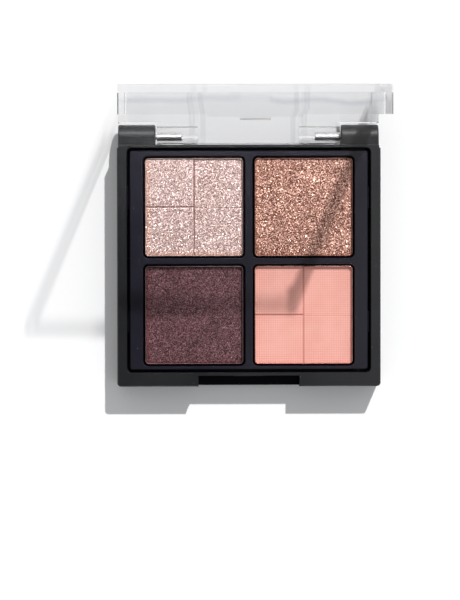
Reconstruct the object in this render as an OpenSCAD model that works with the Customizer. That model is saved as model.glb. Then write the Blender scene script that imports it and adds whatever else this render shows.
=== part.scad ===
// Square eyeshadow compact with four pressed powders and a clear hinged lid.
// X runs across, +Y to the hinge, +Z up. The origin is the middle of the underside.

/* [Pans] */
// Side of each square metal pan
pan_w = 19; // [15:0.5:26]
// Height of a pan's wall
pan_h = 3.2; // [2.8:0.1:4]
// Thickness of the pan's sheet metal
pan_wall = 0.3; // [0.2:0.05:0.5]
// Corner radius of a pan
pan_corner = 0.7; // [0.6:0.1:2]
// Gap between a pan and its opening in the tray
pan_gap = 0.25; // [0.1:0.05:0.5]
// Depth of a pan's rim below the face of the tray
pan_drop = 0.4; // [0.1:0.05:0.8]
// Diameter of the adhesive pad under a pan
pad_dia = 12; // [6:0.5:14]
// Thickness of the adhesive pad
pad_h = 0.2; // [0.1:0.05:0.4]

/* [Powders] */
// Depth of the two matte powders below the rim of the pan
matte_drop = 0.7; // [0.4:0.05:1.2]
// Depth of the two shimmer powders below the rim of the pan
shimmer_drop = 0.4; // [0.35:0.05:1]
// Width of the pressed line that quarters a powder
line_w = 0.24; // [0.1:0.02:0.6]
// Depth of the pressed line
line_d = 0.16; // [0.05:0.01:0.4]
// Height of the raised quarter of a pressed powder
quarter_h = 0.1; // [0.04:0.01:0.3]

/* [Tray] */
// Width of the bar between the left and right openings
bar_x = 1.7; // [1:0.1:4]
// Width of the bar between the front and rear openings
bar_y = 1.4; // [1:0.1:4]
// Width of the tray beside the openings
tray_side = 2.7; // [1.6:0.1:5]
// Width of the tray in front of the openings
tray_front = 0.8; // [0.8:0.1:3]
// Width of the tray behind the openings
tray_rear = 1.2; // [1:0.1:3]
// Thickness of the tray's top plate
tray_plate = 1; // [0.8:0.1:1.5]
// Wall around the block of wells
well_wall = 0.7; // [0.5:0.05:0.8]
// Floor of the wells
well_floor = 0.9; // [0.6:0.1:1.2]
// Depth of the tray's face below the rim of the base
tray_drop = 0.3; // [0.1:0.05:0.6]
// Open groove between the tray and the rim
groove = 0.5; // [0.3:0.05:1]
// Corner radius of the tray
tray_corner = 0.6; // [0.4:0.1:1.5]
// Length of each snap lug on the tray's sides
lug_len = 4; // [2:0.5:6]
// Height of a snap lug
lug_h = 0.8; // [0.5:0.1:1.2]
// Bite of a snap lug into the wall of the base
lug_bite = 0.3; // [0.15:0.05:0.5]
// Distance of the snap lugs from the middle, front to back
lug_y = 12; // [8:0.5:14]

/* [Base] */
// Width of the rim at the sides
rim_side = 1.95; // [1.4:0.05:3]
// Width of the rim at the front
rim_front = 2.75; // [2.6:0.05:4]
// Width of the rim at the rear
rim_rear = 0.65; // [0.5:0.05:1.5]
// Thickness of the floor
floor_h = 1.2; // [0.8:0.1:2]
// Height of the ribs that carry the tray
rib_h = 0.8; // [0.4:0.1:1.5]
// Thickness of the ribs
rib_w = 0.9; // [0.6:0.1:1.5]
// Corner radius of the case
case_corner = 0.7; // [0.5:0.1:2]
// Chamfer along the edges of the case and lid
edge = 0.2; // [0.1:0.05:0.4]
// Chamfer round the mouth of the recess, the tray and its openings
lip_edge = 0.15; // [0.05:0.05:0.25]

/* [Thumb notch] */
// Width of the notch in the front rim
notch_w = 19.6; // [19:0.2:26]
// Depth of the notch, front to back
notch_d = 2.1; // [2:0.05:2.2]
// Thickness of the ledge under the notch
ledge_h = 2.2; // [1:0.1:4]

/* [Hinge] */
// Height of the hinge axis above the table
hinge_z = 2.75; // [2.5:0.05:3]
// Distance of the hinge axis behind the case
hinge_back = 1.5; // [1.3:0.05:2]
// Radius of the knuckles on the base
knuckle_r = 2.3; // [1.8:0.05:2.4]
// Distance of a knuckle's inner face from the middle
knuckle_in = 18; // [16:0.1:20]
// Step from the side of the case to the side of a knuckle
knuckle_step = 0.25; // [0.1:0.05:0.6]
// Radius of the clear bosses on the lid
boss_r = 2; // [1.6:0.05:2.2]
// Distance of a boss's inner face from the middle
boss_in = 9.8; // [7:0.1:12]
// Running gap around a boss and beside it
boss_gap = 0.25; // [0.15:0.05:0.4]
// Wall left in front of the trough for a boss
trough_wall = 0.65; // [0.4:0.05:0.7]
// Radius of the steel hinge pins
pin_r = 0.5; // [0.4:0.05:0.7]
// Length of a pin inside the lid's boss
pin_reach = 4.8; // [3:0.1:6]
// Depth of a pin's outer end below the side of the knuckle
pin_sink = 0.25; // [0.05:0.05:0.6]
// Radial clearance of a pin in the lid's boss
pin_clear = 0.05; // [0.02:0.01:0.1]

/* [Lid] */
// Height of the lid's front and side walls
lid_h = 5.5; // [5.2:0.1:9]
// Thickness of the lid's clear plate
lid_plate = 1.5; // [0.8:0.1:1.6]
// Thickness of the lid's walls
lid_wall = 1.3; // [1:0.05:1.35]
// Step from the side of the case to the side of the lid
lid_step = 0.25; // [0:0.05:0.5]
// Radius of the lid's inner corners
lid_inner_corner = 0.5; // [0.3:0.1:1]
// Width of the ribs that carry a boss up the rear wall
wall_rib_w = 1.3; // [0.8:0.1:2]
// Depth of those ribs
wall_rib_d = 0.6; // [0.3:0.1:1]
// Width of the sloped flank of those ribs
wall_rib_flank = 0.35; // [0.05:0.05:0.4]
// Gap between the closed lid and the rim
seat_gap = 0.1; // [0.05:0.01:0.2]
// Gap between the lid's rear skirt and the knuckles
skirt_gap = 0.3; // [0.15:0.05:0.5]
// Gap between the lid's middle web and the case when open
stop_gap = 0.1; // [0.05:0.01:0.2]
// Opening angle of the lid
lid_angle = 90; // [0:5:90]

/* [Latch] */
// Width of the latch tab
tab_w = 5.6; // [4:0.2:8]
// Thickness of the latch tab
tab_t = 0.5; // [0.3:0.05:0.55]
// Reach of the latch tab below the lid's edge
tab_reach = 1.1; // [0.9:0.05:1.6]
// Height of the barb and of the bead that it passes
barb_h = 0.3; // [0.2:0.05:0.35]
// Bite of the barb and of the bead
barb_bite = 0.1; // [0.06:0.01:0.13]
// Gap between the latched barb and the bead above it
barb_gap = 0.15; // [0.05:0.05:0.3]
// Width of the lip that dips into the notch
lip_w = 17.6; // [10:0.2:18]
// Height of that lip
lip_h = 0.5; // [0.3:0.05:0.8]

/* [Hidden] */
$fn = 48;
eps = 0.01; // overlap of cutters past a face
over = 1; // length of cutters past the part

opening = pan_w + 2 * pan_gap;
opening_corner = pan_corner + pan_gap;
pan_x = (opening + bar_x) / 2;
pan_step_y = opening + bar_y;

tray_w = 2 * opening + bar_x + 2 * tray_side;
tray_d = 2 * opening + bar_y + tray_front + tray_rear;
recess_w = tray_w + 2 * groove;
recess_d = tray_d + 2 * groove;
case_w = recess_w + 2 * rim_side;
case_d = recess_d + rim_front + rim_rear;

lid_back = hinge_z; // the open lid stands on its rear face, level with the underside
body_d = case_d + hinge_back + lid_back;
front_y = -body_d / 2;
case_rear_y = front_y + case_d;
hinge_y = case_rear_y + hinge_back;
lid_rear_y = hinge_y + lid_back - lid_wall;
recess_y = front_y + rim_front;
recess_mid_y = recess_y + recess_d / 2;
recess_corner = tray_corner + groove / 2;
tray_y = recess_y + groove;
tray_mid_y = tray_y + tray_d / 2;
wells_y = tray_y + tray_front;
front_pan_y = wells_y + opening / 2;
rear_pan_y = front_pan_y + pan_step_y;

rib_top = floor_h + rib_h;
well_z = rib_top + well_floor;
pan_z = well_z + pad_h;
pan_top = pan_z + pan_h;
tray_z = pan_top + pan_drop;
case_h = tray_z + tray_drop;

lid_w = case_w - 2 * lid_step;
lid_z = case_h + seat_gap;
lid_top = lid_z + lid_h;
skirt_z = hinge_z + knuckle_r + skirt_gap;
web_z = hinge_z - (hinge_back - stop_gap);
boss_out = knuckle_in - boss_gap;
trough_r = boss_r + boss_gap;
knuckle_out = case_w / 2 - knuckle_step;
pin_in = boss_out - pin_reach;
pin_out = knuckle_out - pin_sink;
wells_w = 2 * opening + bar_x + 2 * well_wall;
wells_d = 2 * opening + bar_y + 2 * well_wall;
notch_y = front_y + notch_d;
bead_z = lid_z - tab_reach + barb_h + barb_gap;

// Rounded rectangle in plan, centred.
module plate2d(w, d, r) {
    square([w - 2 * r, d], center = true);
    square([w, d - 2 * r], center = true);
    for (x = [-1, 1], y = [-1, 1])
        translate([x * (w / 2 - r), y * (d / 2 - r)]) circle(r);
}

module slab(w, d, h, r) {
    linear_extrude(h) plate2d(w, d, r);
}

// Rounded slab with chamfered top and bottom edges.
module soft_slab(w, d, h, r, c) {
    hull() {
        translate([0, 0, c]) slab(w, d, h - 2 * c, r, $fn = 32);
        slab(w - 2 * c, d - 2 * c, h, r - c, $fn = 32);
    }
}

// Flared cutter that chamfers the mouth of a rounded pocket whose top lies at z = 0.
module mouth(w, d, r, c) {
    hull() {
        translate([0, 0, -c]) slab(w, d, eps, r, $fn = 32);
        slab(w + 2 * c, d + 2 * c, over, r + c, $fn = 32);
    }
}

// Cylinder along X between two stations, on the hinge axis.
module hinge_bar(x1, x2, r) {
    translate([x1, hinge_y, hinge_z]) rotate([0, 90, 0]) cylinder(r = r, h = x2 - x1);
}

// The same bar with a small chamfer round both ends.
module soft_hinge_bar(x1, x2, r, c) {
    len = x2 - x1;
    translate([x1, hinge_y, hinge_z]) rotate([0, 90, 0])
        rotate_extrude() polygon([[0, 0], [r - c, 0], [r, c], [r, len - c], [r - c, len], [0, len]]);
}

// Extrudes a profile drawn in the Y-Z plane along X, centred on x = 0.
module along_x(w) {
    translate([-w / 2, 0, 0]) rotate([90, 0, 90]) linear_extrude(w) children();
}

module both_sides() {
    children();
    mirror([1, 0, 0]) children();
}

module at_pan(x, y) {
    translate([x, y, 0]) children();
}

// ---- Base ----

module knuckle() {
    soft_hinge_bar(knuckle_in, knuckle_out, knuckle_r, edge);
    translate([knuckle_in, case_rear_y - rim_rear, hinge_z - knuckle_r])
        cube([knuckle_out - knuckle_in, hinge_back + rim_rear, 2 * knuckle_r]);
}

// Ribs on the floor, one pair under each row of wells and one under the bars.
module floor_ribs() {
    for (x = [-pan_x, 0, pan_x])
        translate([x - rib_w / 2, recess_y - eps, floor_h - eps])
            cube([rib_w, recess_d + 2 * eps, rib_h + eps]);
    for (y = [front_pan_y, (front_pan_y + rear_pan_y) / 2, rear_pan_y])
        translate([-recess_w / 2 - eps, y - rib_w / 2, floor_h - eps])
            cube([recess_w + 2 * eps, rib_w, rib_h + eps]);
}

// Rounded bulge inside the rear wall that backs the trough for a boss.
module trough_back() {
    intersection() {
        hinge_bar(boss_in - boss_gap - trough_wall, knuckle_in, trough_r + trough_wall);
        translate([0, 0, floor_h - eps]) cube([case_w, case_rear_y, case_h]);
    }
}

module lug_pockets() {
    for (y = [-1, 1])
        translate([recess_w / 2 - eps, tray_mid_y + y * lug_y - lug_len / 2 - pan_gap,
                tray_z - tray_plate - lug_h - pan_gap])
            cube([lug_bite + pan_gap + eps, lug_len + 2 * pan_gap, lug_h + 2 * pan_gap]);
}

// Thumb notch, cut into the front rim from above, with its latch bead left on the rear wall.
module thumb_notch() {
    difference() {
        translate([-notch_w / 2, front_y - over, ledge_h])
            cube([notch_w, notch_d + over, case_h]);
        along_x(tab_w + 2 * seat_gap)
            polygon([[notch_y, bead_z], [notch_y - barb_bite, bead_z + barb_h / 2],
                [notch_y, bead_z + barb_h], [notch_y + over, bead_z + barb_h], [notch_y + over, bead_z]]);
    }
}

// Step that narrows the rear corners of the case to the width of the knuckles.
module shoulder_cut() {
    translate([knuckle_out, case_rear_y - rim_rear, -over])
        cube([knuckle_step + over, rim_rear + over, case_h + 2 * over]);
}

module base_shell() {
    color("#232427") {
        difference() {
            union() {
                difference() {
                    translate([0, front_y + case_d / 2, 0])
                        soft_slab(case_w, case_d, case_h, case_corner, edge);
                    translate([0, recess_mid_y, floor_h])
                        slab(recess_w, recess_d, case_h, recess_corner);
                    translate([0, recess_mid_y, case_h]) mouth(recess_w, recess_d, recess_corner, lip_edge);
                    both_sides() lug_pockets();
                }
                floor_ribs();
                both_sides() trough_back();
            }
            both_sides() shoulder_cut();
            both_sides() hinge_bar(boss_in - boss_gap, knuckle_in, trough_r);
            thumb_notch();
        }
        difference() {
            both_sides() knuckle();
            both_sides() hinge_bar(pin_in, knuckle_out + eps, pin_r);
        }
    }
}

// ---- Tray ----

module pan_tray() {
    color("#26262d") difference() {
        union() {
            translate([0, tray_mid_y, tray_z - tray_plate])
                soft_slab(tray_w, tray_d, tray_plate, tray_corner, lip_edge);
            translate([0, wells_y - well_wall + wells_d / 2, rib_top])
                slab(wells_w, wells_d, tray_z - rib_top - tray_plate / 2, opening_corner + well_wall);
            for (y = [-1, 1])
                translate([-tray_w / 2 - groove - lug_bite, tray_mid_y + y * lug_y - lug_len / 2,
                        tray_z - tray_plate - lug_h])
                    cube([tray_w + 2 * (groove + lug_bite), lug_len, lug_h]);
        }
        for (x = [-pan_x, pan_x], y = [front_pan_y, rear_pan_y]) {
            translate([x, y, well_z]) slab(opening, opening, case_h, opening_corner);
            translate([x, y, tray_z]) mouth(opening, opening, opening_corner, lip_edge);
        }
    }
}

// ---- Pans, pads and powders ----

module pan() {
    color("#b9b4b2") translate([0, 0, pan_z]) difference() {
        slab(pan_w, pan_w, pan_h, pan_corner);
        translate([0, 0, pan_wall])
            slab(pan_w - 2 * pan_wall, pan_w - 2 * pan_wall, pan_h, pan_corner - pan_wall);
    }
}

module pad() {
    color("#d8d3c8") translate([0, 0, well_z]) cylinder(d = pad_dia, h = pad_h);
}

// Pressed cake that fills a pan to the given depth below its rim.
module cake(drop) {
    cake_w = pan_w - 2 * pan_wall;
    translate([0, 0, pan_z + pan_wall])
        slab(cake_w, cake_w, pan_h - pan_wall - drop, pan_corner - pan_wall);
}

// Cake with a pressed cross and one quarter raised above the rest.
module quartered_cake(drop) {
    cake_w = pan_w - 2 * pan_wall;
    top = pan_top - drop;
    difference() {
        union() {
            cake(drop);
            intersection() {
                translate([-cake_w, 0, top - eps]) cube([cake_w, cake_w, quarter_h + eps]);
                translate([0, 0, quarter_h]) cake(drop);
            }
        }
        for (a = [0, 90]) rotate(a)
            translate([-line_w / 2, -cake_w, top - line_d])
                cube([line_w, 2 * cake_w, line_d + quarter_h + over]);
    }
}

module powder_champagne() {
    color("#d9bbb6") quartered_cake(shimmer_drop);
}

module powder_rose_gold() {
    color("#ba8d80") cake(shimmer_drop);
}

module powder_plum() {
    color("#64454a") cake(matte_drop);
}

module powder_peach() {
    color("#f0b0a4") quartered_cake(matte_drop);
}

// ---- Hinge pins ----

module hinge_pin() {
    color("#c9cbcf") hinge_bar(pin_in, pin_out, pin_r);
}

// ---- Lid, drawn closed ----

// Clear boss with its blind bore, merged into the rear wall above it.
module boss() {
    boss_len = boss_out - boss_in;
    difference() {
        union() {
            hinge_bar(boss_in, boss_out, boss_r);
            translate([boss_in, hinge_y, hinge_z])
                cube([boss_len, lid_back - lid_wall / 2, skirt_z - hinge_z]);
            translate([boss_in, lid_rear_y, hinge_z])
                cube([boss_len, lid_wall, lid_top - hinge_z - lid_plate / 2]);
        }
        hinge_bar(pin_in - pin_clear, boss_out + eps, pin_r + pin_clear);
    }
}

// Two tapered ribs that carry a boss up the inside of the rear wall to the plate.
module wall_ribs() {
    for (x = [boss_in, boss_out - wall_rib_w])
        translate([x, lid_rear_y, skirt_z - wall_rib_d])
            linear_extrude(lid_top - lid_plate / 2 - skirt_z + wall_rib_d)
                polygon([[0, eps], [wall_rib_flank, -wall_rib_d], [wall_rib_w - wall_rib_flank, -wall_rib_d],
                    [wall_rib_w, eps]]);
}

// Rear wall between the bosses, with a rounded lower edge.
// Its heel is rounded about the hinge, so it never digs into the table.
module web() {
    web_w = 2 * (boss_in + eps);
    round_z = web_z + lid_wall / 2;
    translate([-web_w / 2, lid_rear_y, hinge_z]) cube([web_w, lid_wall, lid_top - lid_plate / 2 - hinge_z]);
    intersection() {
        along_x(web_w) {
            translate([lid_rear_y, round_z]) square([lid_wall, hinge_z - round_z + eps]);
            translate([lid_rear_y + lid_wall / 2, round_z]) circle(d = lid_wall);
        }
        hinge_bar(-web_w / 2, web_w / 2, lid_back);
    }
}

// Latch tab on the front wall, with a barb near its lower end.
module latch_tab() {
    tab_y = front_y + lid_wall;
    tab_z = lid_z - tab_reach;
    along_x(tab_w)
        polygon([[tab_y - eps, lid_top - lid_plate / 2], [tab_y - eps, tab_z], [tab_y + tab_t, tab_z],
            [tab_y + tab_t + barb_bite, tab_z + barb_h / 2], [tab_y + tab_t, tab_z + barb_h],
            [tab_y + tab_t, lid_top - lid_plate / 2]]);
    translate([-tab_w / 2, front_y + lid_wall / 3, tab_z])
        cube([tab_w, lid_wall * 2 / 3, lid_z - tab_z + lid_wall]);
}

module closed_lid() {
    inner_w = lid_w - 2 * lid_wall;
    inner_d = body_d - 2 * lid_wall;
    difference() {
        translate([0, 0, skirt_z]) soft_slab(lid_w, body_d, lid_top - skirt_z, case_corner, edge);
        translate([0, 0, skirt_z - over])
            slab(inner_w, inner_d, lid_top - lid_plate - skirt_z + over, lid_inner_corner);
        translate([-case_w, -body_d, 0]) cube([2 * case_w, case_rear_y + body_d + stop_gap, lid_z]);
    }
    both_sides() {
        boss();
        wall_ribs();
    }
    web();
    translate([-lip_w / 2, front_y + edge, lid_z - lip_h])
        cube([lip_w, lid_wall - edge, lip_h + lid_wall]);
    latch_tab();
}

module lid() {
    color("#e6e8ee", 0.4)
        translate([0, hinge_y, hinge_z]) rotate([-lid_angle, 0, 0])
            translate([0, -hinge_y, -hinge_z]) closed_lid();
}

base_shell();
pan_tray();
at_pan(-pan_x, rear_pan_y) pan();  // pan_champagne
at_pan(pan_x, rear_pan_y) pan();  // pan_rose_gold
at_pan(-pan_x, front_pan_y) pan();  // pan_plum
at_pan(pan_x, front_pan_y) pan();  // pan_peach
at_pan(-pan_x, rear_pan_y) powder_champagne();
at_pan(pan_x, rear_pan_y) powder_rose_gold();
at_pan(-pan_x, front_pan_y) powder_plum();
at_pan(pan_x, front_pan_y) powder_peach();
at_pan(-pan_x, rear_pan_y) pad();  // pad_champagne
at_pan(pan_x, rear_pan_y) pad();  // pad_rose_gold
at_pan(-pan_x, front_pan_y) pad();  // pad_plum
at_pan(pan_x, front_pan_y) pad();  // pad_peach
mirror([1, 0, 0]) hinge_pin();  // hinge_pin_left
hinge_pin();  // hinge_pin_right
lid();
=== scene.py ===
"""Square eyeshadow compact: moulded case, pressed powders, clear lid and a plain studio."""

import math

import bmesh
import bpy
from mathutils import Euler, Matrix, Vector, noise


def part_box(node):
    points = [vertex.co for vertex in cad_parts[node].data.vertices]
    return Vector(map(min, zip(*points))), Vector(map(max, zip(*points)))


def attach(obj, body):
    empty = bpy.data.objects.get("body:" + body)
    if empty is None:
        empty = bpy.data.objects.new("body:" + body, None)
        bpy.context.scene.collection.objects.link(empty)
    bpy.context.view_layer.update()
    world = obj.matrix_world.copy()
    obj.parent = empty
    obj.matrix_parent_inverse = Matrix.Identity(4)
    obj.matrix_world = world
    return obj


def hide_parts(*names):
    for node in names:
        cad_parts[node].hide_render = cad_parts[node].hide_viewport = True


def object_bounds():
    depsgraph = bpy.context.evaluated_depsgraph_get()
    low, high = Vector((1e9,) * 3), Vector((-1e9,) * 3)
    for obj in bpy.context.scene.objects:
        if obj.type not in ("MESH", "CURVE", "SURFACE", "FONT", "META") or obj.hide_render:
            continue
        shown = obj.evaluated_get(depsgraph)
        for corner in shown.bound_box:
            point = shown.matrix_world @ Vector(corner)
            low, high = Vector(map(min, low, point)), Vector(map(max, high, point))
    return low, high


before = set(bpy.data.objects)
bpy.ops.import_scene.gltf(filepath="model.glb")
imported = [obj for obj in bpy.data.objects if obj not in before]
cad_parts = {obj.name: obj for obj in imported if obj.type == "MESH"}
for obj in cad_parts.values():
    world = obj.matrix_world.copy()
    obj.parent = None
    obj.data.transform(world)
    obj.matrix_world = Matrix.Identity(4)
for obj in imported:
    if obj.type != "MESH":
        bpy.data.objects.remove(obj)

bl_info = {
    "name": "Eyeshadow compact",
    "version": (1, 0, 0),
    "blender": (4, 5, 0),
    "location": "View3D > Sidebar > Compact",
    "description": "Dresses the parts of a four-pan eyeshadow compact and sets a plain studio round it",
    "category": "Object",
}

MM = 0.001
CAD_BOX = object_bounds()
FRAME_W, FRAME_H = 460, 600  # the picture's size in pixels
SHADES = ("champagne", "rose_gold", "plum", "peach")

# ---------------------------------------------------------------- settings


class CaseFinish(bpy.types.PropertyGroup):
    """Colours and surface of the black mouldings."""

    shell_color: bpy.props.FloatVectorProperty(
        name="Shell colour", description="Plastic of the case", subtype="COLOR",
        size=3, min=0, max=1, default=(0.0062, 0.0068, 0.0080))
    tray_color: bpy.props.FloatVectorProperty(
        name="Tray colour", description="Plastic of the pan tray", subtype="COLOR",
        size=3, min=0, max=1, default=(0.0062, 0.0056, 0.0125))
    # painted shade: the notch colour is darker than the shell for the shadow that falls in the thumb notch
    notch_shade_color: bpy.props.FloatVectorProperty(
        name="Notch colour", description="Dull plastic of the thumb notch", subtype="COLOR",
        size=3, min=0, max=1, default=(0.0008, 0.0004, 0.0035))
    grain_size: bpy.props.FloatProperty(
        name="Grain size", description="Size of the satin grain of the mould", unit="LENGTH",
        min=0.00001, default=0.00009, precision=6)
    shell_roughness: bpy.props.FloatProperty(
        name="Shell roughness", description="How dull the case is", subtype="FACTOR",
        min=0, max=1, default=0.39)
    tray_roughness: bpy.props.FloatProperty(
        name="Tray roughness", description="How dull the tray is", subtype="FACTOR",
        min=0, max=1, default=0.38)


class MetalFinish(bpy.types.PropertyGroup):
    """Tinplate of the pans and steel of the pins."""

    tin_color: bpy.props.FloatVectorProperty(
        name="Tin colour", description="Tinplate of the pans", subtype="COLOR",
        size=3, min=0, max=1, default=(0.40, 0.32, 0.31))
    rim_width: bpy.props.FloatProperty(
        name="Rim width", description="Thickness of a pan's wall above its powder", unit="LENGTH",
        min=0, default=0.18 * MM, precision=6)
    steel_color: bpy.props.FloatVectorProperty(
        name="Steel colour", description="Drawn wire of the hinge pins", subtype="COLOR",
        size=3, min=0, max=1, default=(0.54, 0.53, 0.54))
    pin_chamfer: bpy.props.FloatProperty(
        name="Pin chamfer", description="Chamfer at both ends of a pin", unit="LENGTH",
        min=0, default=0.08 * MM, precision=6)


class PowderPress(bpy.types.PropertyGroup):
    """Relief that the press leaves on the powders."""

    weave_pitch: bpy.props.FloatProperty(
        name="Weave pitch", description="Spacing of the pressed squares", unit="LENGTH",
        min=0.0001, default=0.438 * MM, precision=6)
    weave_depth: bpy.props.FloatProperty(
        name="Weave depth", description="Depth of the furrows between the pressed squares", unit="LENGTH",
        min=0, default=0.045 * MM, precision=6)
    line_width: bpy.props.FloatProperty(
        name="Line width", description="Width of the cross that quarters a powder", unit="LENGTH",
        min=0, default=0.24 * MM, precision=6)
    line_depth: bpy.props.FloatProperty(
        name="Line depth", description="Depth of the cross", unit="LENGTH",
        min=0, default=0.13 * MM, precision=6)
    quarter_height: bpy.props.FloatProperty(
        name="Quarter height", description="Height of the raised quarter", unit="LENGTH",
        min=0, default=0.1 * MM, precision=6)
    flake_size: bpy.props.FloatProperty(
        name="Flake size", description="Width of a pearl flake", unit="LENGTH",
        min=0.00001, default=0.17 * MM, precision=6)


class PowderShades(bpy.types.PropertyGroup):
    """Tones of the four powders."""

    # each dark tone also serves as the painted shade laid into the pressed furrows
    champagne_dark: bpy.props.FloatVectorProperty(
        name="Champagne dark", description="Furrows and shaded grains of the champagne pearl",
        subtype="COLOR", size=3, min=0, max=1, default=(0.25, 0.125, 0.10))
    champagne_middle: bpy.props.FloatVectorProperty(
        name="Champagne middle", description="Body of the champagne pearl", subtype="COLOR",
        size=3, min=0, max=1, default=(0.60, 0.405, 0.37))
    champagne_light: bpy.props.FloatVectorProperty(
        name="Champagne light", description="Brightest grains of the champagne pearl", subtype="COLOR",
        size=3, min=0, max=1, default=(1.0, 0.83, 0.80))
    rose_gold_dark: bpy.props.FloatVectorProperty(
        name="Rose gold dark", description="Furrows and shaded grains of the rose gold pearl",
        subtype="COLOR", size=3, min=0, max=1, default=(0.06, 0.015, 0.009))
    rose_gold_middle: bpy.props.FloatVectorProperty(
        name="Rose gold middle", description="Body of the rose gold pearl", subtype="COLOR",
        size=3, min=0, max=1, default=(0.35, 0.15, 0.108))
    rose_gold_light: bpy.props.FloatVectorProperty(
        name="Rose gold light", description="Brightest grains of the rose gold pearl", subtype="COLOR",
        size=3, min=0, max=1, default=(0.93, 0.57, 0.46))
    plum_dark: bpy.props.FloatVectorProperty(
        name="Plum dark", description="Furrows and shaded grains of the plum pearl", subtype="COLOR",
        size=3, min=0, max=1, default=(0.020, 0.005, 0.007))
    plum_middle: bpy.props.FloatVectorProperty(
        name="Plum middle", description="Body of the plum pearl", subtype="COLOR",
        size=3, min=0, max=1, default=(0.096, 0.034, 0.04))
    plum_light: bpy.props.FloatVectorProperty(
        name="Plum light", description="Brightest grains of the plum pearl", subtype="COLOR",
        size=3, min=0, max=1, default=(0.27, 0.125, 0.142))
    # painted shade: colour laid into the furrows of the peach powder
    peach_furrow_shade: bpy.props.FloatVectorProperty(
        name="Peach furrow", description="Furrows of the matte peach powder", subtype="COLOR",
        size=3, min=0, max=1, default=(0.50, 0.17, 0.13))
    peach_dark: bpy.props.FloatVectorProperty(
        name="Peach dark", description="Darker clouds of the matte peach powder", subtype="COLOR",
        size=3, min=0, max=1, default=(0.87, 0.405, 0.34))
    peach_middle: bpy.props.FloatVectorProperty(
        name="Peach middle", description="Body of the matte peach powder", subtype="COLOR",
        size=3, min=0, max=1, default=(0.92, 0.455, 0.385))
    peach_light: bpy.props.FloatVectorProperty(
        name="Peach light", description="Pale grit in the matte peach powder", subtype="COLOR",
        size=3, min=0, max=1, default=(0.95, 0.56, 0.49))


class LidFinish(bpy.types.PropertyGroup):
    """Clear plastic of the lid."""

    tint: bpy.props.FloatVectorProperty(
        name="Tint", description="Colour of the clear plastic", subtype="COLOR",
        size=3, min=0, max=1, default=(0.978, 0.98, 0.985))
    ior: bpy.props.FloatProperty(
        name="IOR", description="Refractive index of the plastic", min=1, max=2, default=1.5)
    edge_break: bpy.props.FloatProperty(
        name="Edge break", description="Width of the broken outer edges", unit="LENGTH",
        min=0, default=0.21 * MM, precision=6)
    edge_keenness: bpy.props.FloatProperty(
        name="Edge keenness", description="Share of that width left on the shown edges",
        subtype="FACTOR", min=0.01, max=1, default=0.1)
    plate_pass: bpy.props.FloatProperty(
        name="Plate pass", description="Lamp light that gets through one face of the plate",
        subtype="FACTOR", min=0, max=1, default=0.955)
    wall_pass: bpy.props.FloatProperty(
        name="Wall pass", description="Lamp light that gets through one face of a wall near its lip",
        subtype="FACTOR", min=0, max=1, default=0.74)
    lit_pass: bpy.props.FloatProperty(
        name="Lit wall pass", description="Lamp light that gets through a face of the wall it strikes first",
        subtype="FACTOR", min=0, max=1, default=0.22)
    graze_pass: bpy.props.FloatProperty(
        name="Graze pass", description="Share of that light left where it grazes the wall",
        subtype="FACTOR", min=0, max=1, default=0.92)


class StudioSetup(bpy.types.PropertyGroup):
    """Camera, lamp, white panel, room and table."""

    front_wall: bpy.props.FloatProperty(
        name="Front wall", description="Brightness of the room in front of the compact against that behind",
        subtype="FACTOR", min=0, max=1, default=0.3)
    camera_place: bpy.props.FloatVectorProperty(
        name="Camera place", description="Where the camera stands", subtype="TRANSLATION", unit="LENGTH",
        size=3, default=(-22.79 * MM, 26.55 * MM, 834.1 * MM))
    camera_turn: bpy.props.FloatVectorProperty(
        name="Camera turn", description="Turn of the camera away from straight down", subtype="EULER",
        size=3, default=(math.radians(-2.4425), math.radians(-1.327), math.radians(-0.08)))
    focal_px: bpy.props.FloatProperty(
        name="Focal length in pixels", description="Focal length over the size of a pixel", default=4280.0)
    key_direction: bpy.props.FloatVectorProperty(
        name="Key direction", description="From the compact towards the key lamp", subtype="DIRECTION",
        size=3, default=(0.359, 0.855, 1.0))
    key_strength: bpy.props.FloatProperty(
        name="Key strength", description="Strength of the key lamp", min=0, default=2.8)
    key_softness: bpy.props.FloatProperty(
        name="Key softness", description="Angle that the key lamp fills", subtype="ANGLE",
        min=0, default=math.radians(1.3))
    ambient: bpy.props.FloatProperty(
        name="Ambient", description="Light that comes from all round", min=0, default=0.46)
    softbox_place: bpy.props.FloatVectorProperty(
        name="Softbox place", description="Middle of the white panel that the gloss shows",
        subtype="TRANSLATION", unit="LENGTH", size=3, default=(0.165, 0.03, 0.18))
    softbox_half: bpy.props.FloatProperty(
        name="Softbox half width", description="Half the width of that panel", unit="LENGTH",
        min=0, default=0.12)
    softbox_strength: bpy.props.FloatProperty(
        name="Softbox strength", description="Brightness of that panel", min=0, default=1.4)
    ceiling: bpy.props.FloatProperty(
        name="Ceiling", description="Brightness of the ceiling over the white walls",
        subtype="FACTOR", min=0, max=1, default=0.03)
    table_color: bpy.props.FloatVectorProperty(
        name="Table colour", description="White table", subtype="COLOR",
        size=3, min=0, max=1, default=(0.98, 0.98, 0.985))


# ---------------------------------------------------------------- node helpers


def feed(tree, socket, value):
    """Links another node's socket to an input, or sets the input to a plain value."""
    if isinstance(value, bpy.types.NodeSocket):
        tree.links.new(value, socket)
    else:
        socket.default_value = value


def add_node(tree, kind, inputs=None, **settings):
    """A new node with its settings and inputs; an input may be a value or another node's socket."""
    made = tree.nodes.new(kind)
    for name, value in settings.items():
        setattr(made, name, value)
    for name, value in (inputs or {}).items():
        feed(tree, made.inputs[name], value)
    return made


def calc(tree, operation, a, b=0.0, c=0.0):
    """Output of a Math node."""
    return add_node(tree, "ShaderNodeMath", {0: a, 1: b, 2: c}, operation=operation).outputs[0]


def vector_calc(tree, operation, inputs):
    """Output of a Vector Math node."""
    return add_node(tree, "ShaderNodeVectorMath", inputs, operation=operation).outputs[0]


def between(tree, share, start, end):
    """Value that lies the given share of the way from start to end."""
    return calc(tree, "MULTIPLY_ADD", share, calc(tree, "SUBTRACT", end, start), start)


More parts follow.
